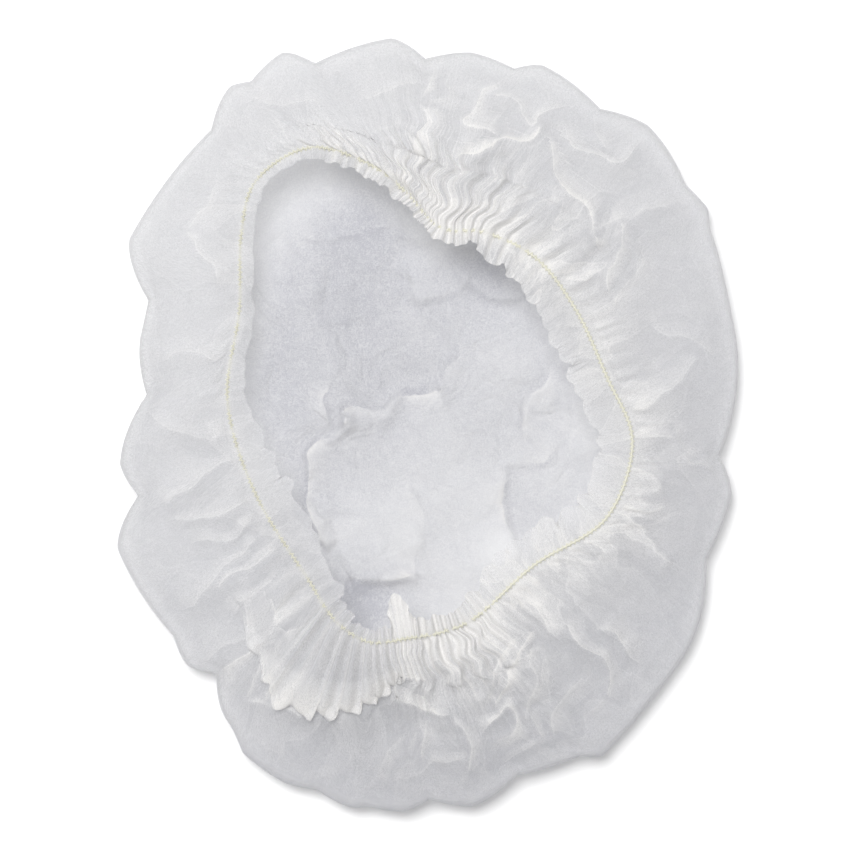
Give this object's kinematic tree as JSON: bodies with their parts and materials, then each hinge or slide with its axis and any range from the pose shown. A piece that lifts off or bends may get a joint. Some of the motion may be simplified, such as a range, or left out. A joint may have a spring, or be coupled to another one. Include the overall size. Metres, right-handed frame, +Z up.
{
  "type": "bouffant surgical cap",
  "caption": "Disposable bouffant surgical cap of thin gathered nonwoven, lying on its crown with the elastic head opening facing up.",
  "frame": {"origin": "on the surface that the cap lies on, under the middle of its length and width", "axes": "+Z up out of the head opening, +Y along the cap's length, +X along its width"},
  "size_m": [0.3134, 0.3872, 0.0522],
  "materials": {
    "nonwoven": "matt, sheer",
    "elastic": "matt"
  },
  "bodies": {
    "root": {"crown": "nonwoven", "elastic": "elastic"}
  },
  "joints": []
}
